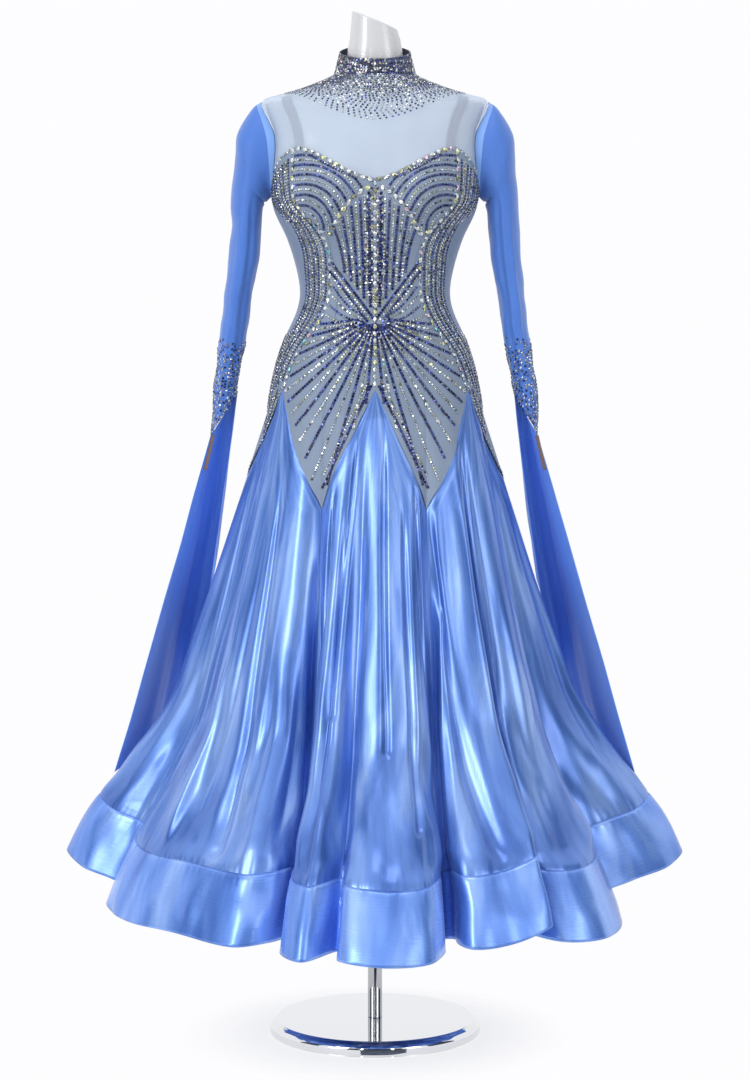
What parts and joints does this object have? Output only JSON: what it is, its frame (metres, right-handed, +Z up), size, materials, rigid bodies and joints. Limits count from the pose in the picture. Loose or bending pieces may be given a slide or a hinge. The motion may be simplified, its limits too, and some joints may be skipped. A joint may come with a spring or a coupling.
{
  "type": "ballroom dance dress on a limbless dress form with a chrome pole and round base",
  "caption": "Floor-length dress with a stoned fitted bodice, sheer yoke, long sleeves with hanging wings and a fluted satin skirt, on a white dress form with a chrome stand.",
  "frame": {"origin": "centre of the underside of the stand's round base", "axes": "+Z up, the wearer faces -Y, +X is the viewer's right from in front"},
  "size_m": [0.9318, 0.8944, 1.5403],
  "materials": {
    "satin": "gloss",
    "bodice_mesh": "satin",
    "yoke_mesh": "matte",
    "sleeve_mesh": "matte",
    "elastic": "matte",
    "crystal": "gloss",
    "form_white": "gloss",
    "chrome": "polished"
  },
  "bodies": {
    "root": {"bodice_centre_front": "bodice_mesh", "cup_right": "bodice_mesh", "bodice_hip_right": "bodice_mesh", "bodice_side_right": "bodice_mesh", "bodice_back_right": "bodice_mesh", "yoke_back_right": "yoke_mesh", "strap_right": "elastic", "sleeve_right": "sleeve_mesh", "wing_right": "sleeve_mesh", "finger_loop_right": "elastic", "cup_left": "bodice_mesh", "bodice_hip_left": "bodice_mesh", "bodice_side_left": "bodice_mesh", "bodice_back_left": "bodice_mesh", "yoke_back_left": "yoke_mesh", "strap_left": "elastic", "sleeve_left": "sleeve_mesh", "wing_left": "sleeve_mesh", "finger_loop_left": "elastic", "yoke_front": "yoke_mesh", "collar": "bodice_mesh", "gore_centre_front": "satin", "hem_band_centre_front": "satin", "gore_right_front": "satin", "hem_band_right_front": "satin", "gore_right_back": "satin", "hem_band_right_back": "satin", "gore_left_back": "satin", "hem_band_left_back": "satin", "gore_left_front": "satin", "hem_band_left_front": "satin", "form_torso": "form_white", "stand_base": "chrome", "stand_pole": "chrome"}
  },
  "joints": []
}
